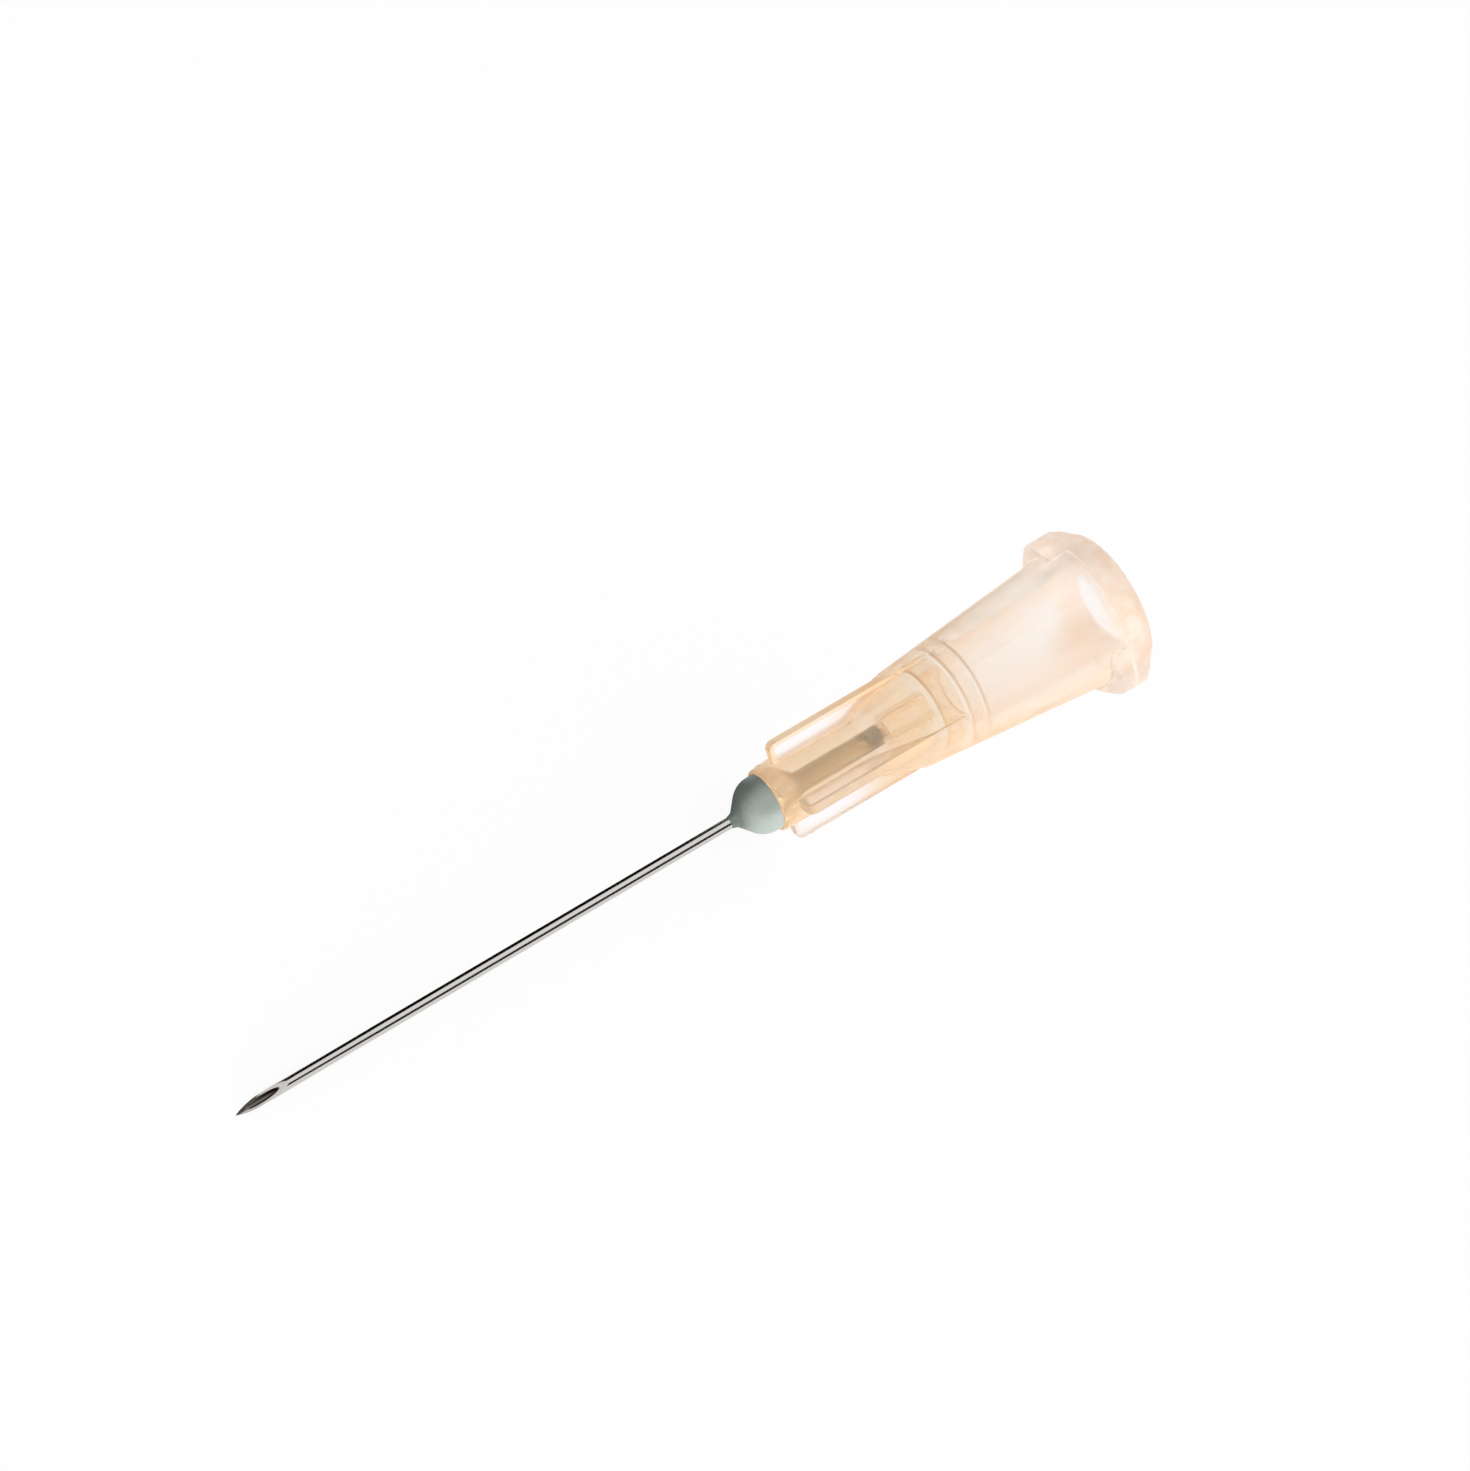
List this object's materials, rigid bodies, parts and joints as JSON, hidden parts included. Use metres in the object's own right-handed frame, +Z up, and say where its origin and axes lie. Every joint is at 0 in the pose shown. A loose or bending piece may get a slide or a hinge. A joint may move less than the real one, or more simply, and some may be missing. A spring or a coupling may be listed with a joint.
{
  "type": "hypodermic needle",
  "caption": "Slender steel cannula with a ground lancet point, glued into a translucent finned hub with a tapered socket and lock lugs.",
  "frame": {"origin": "centre of the footprint's bounding box, on the floor the needle lies on", "axes": "+X from the point towards the hub's open end, +Z up, with the needle lying on its point and on the collar's front edge, its axis 4.0 degrees off the floor and the ground point facing up"},
  "size_m": [0.0452, 0.0078, 0.0067],
  "materials": {
    "hub_plastic": "satin",
    "adhesive": "gloss",
    "cannula_steel": "polished"
  },
  "bodies": {
    "root": {"hub": "hub_plastic", "adhesive_bead": "adhesive", "cannula": "cannula_steel"}
  },
  "joints": []
}
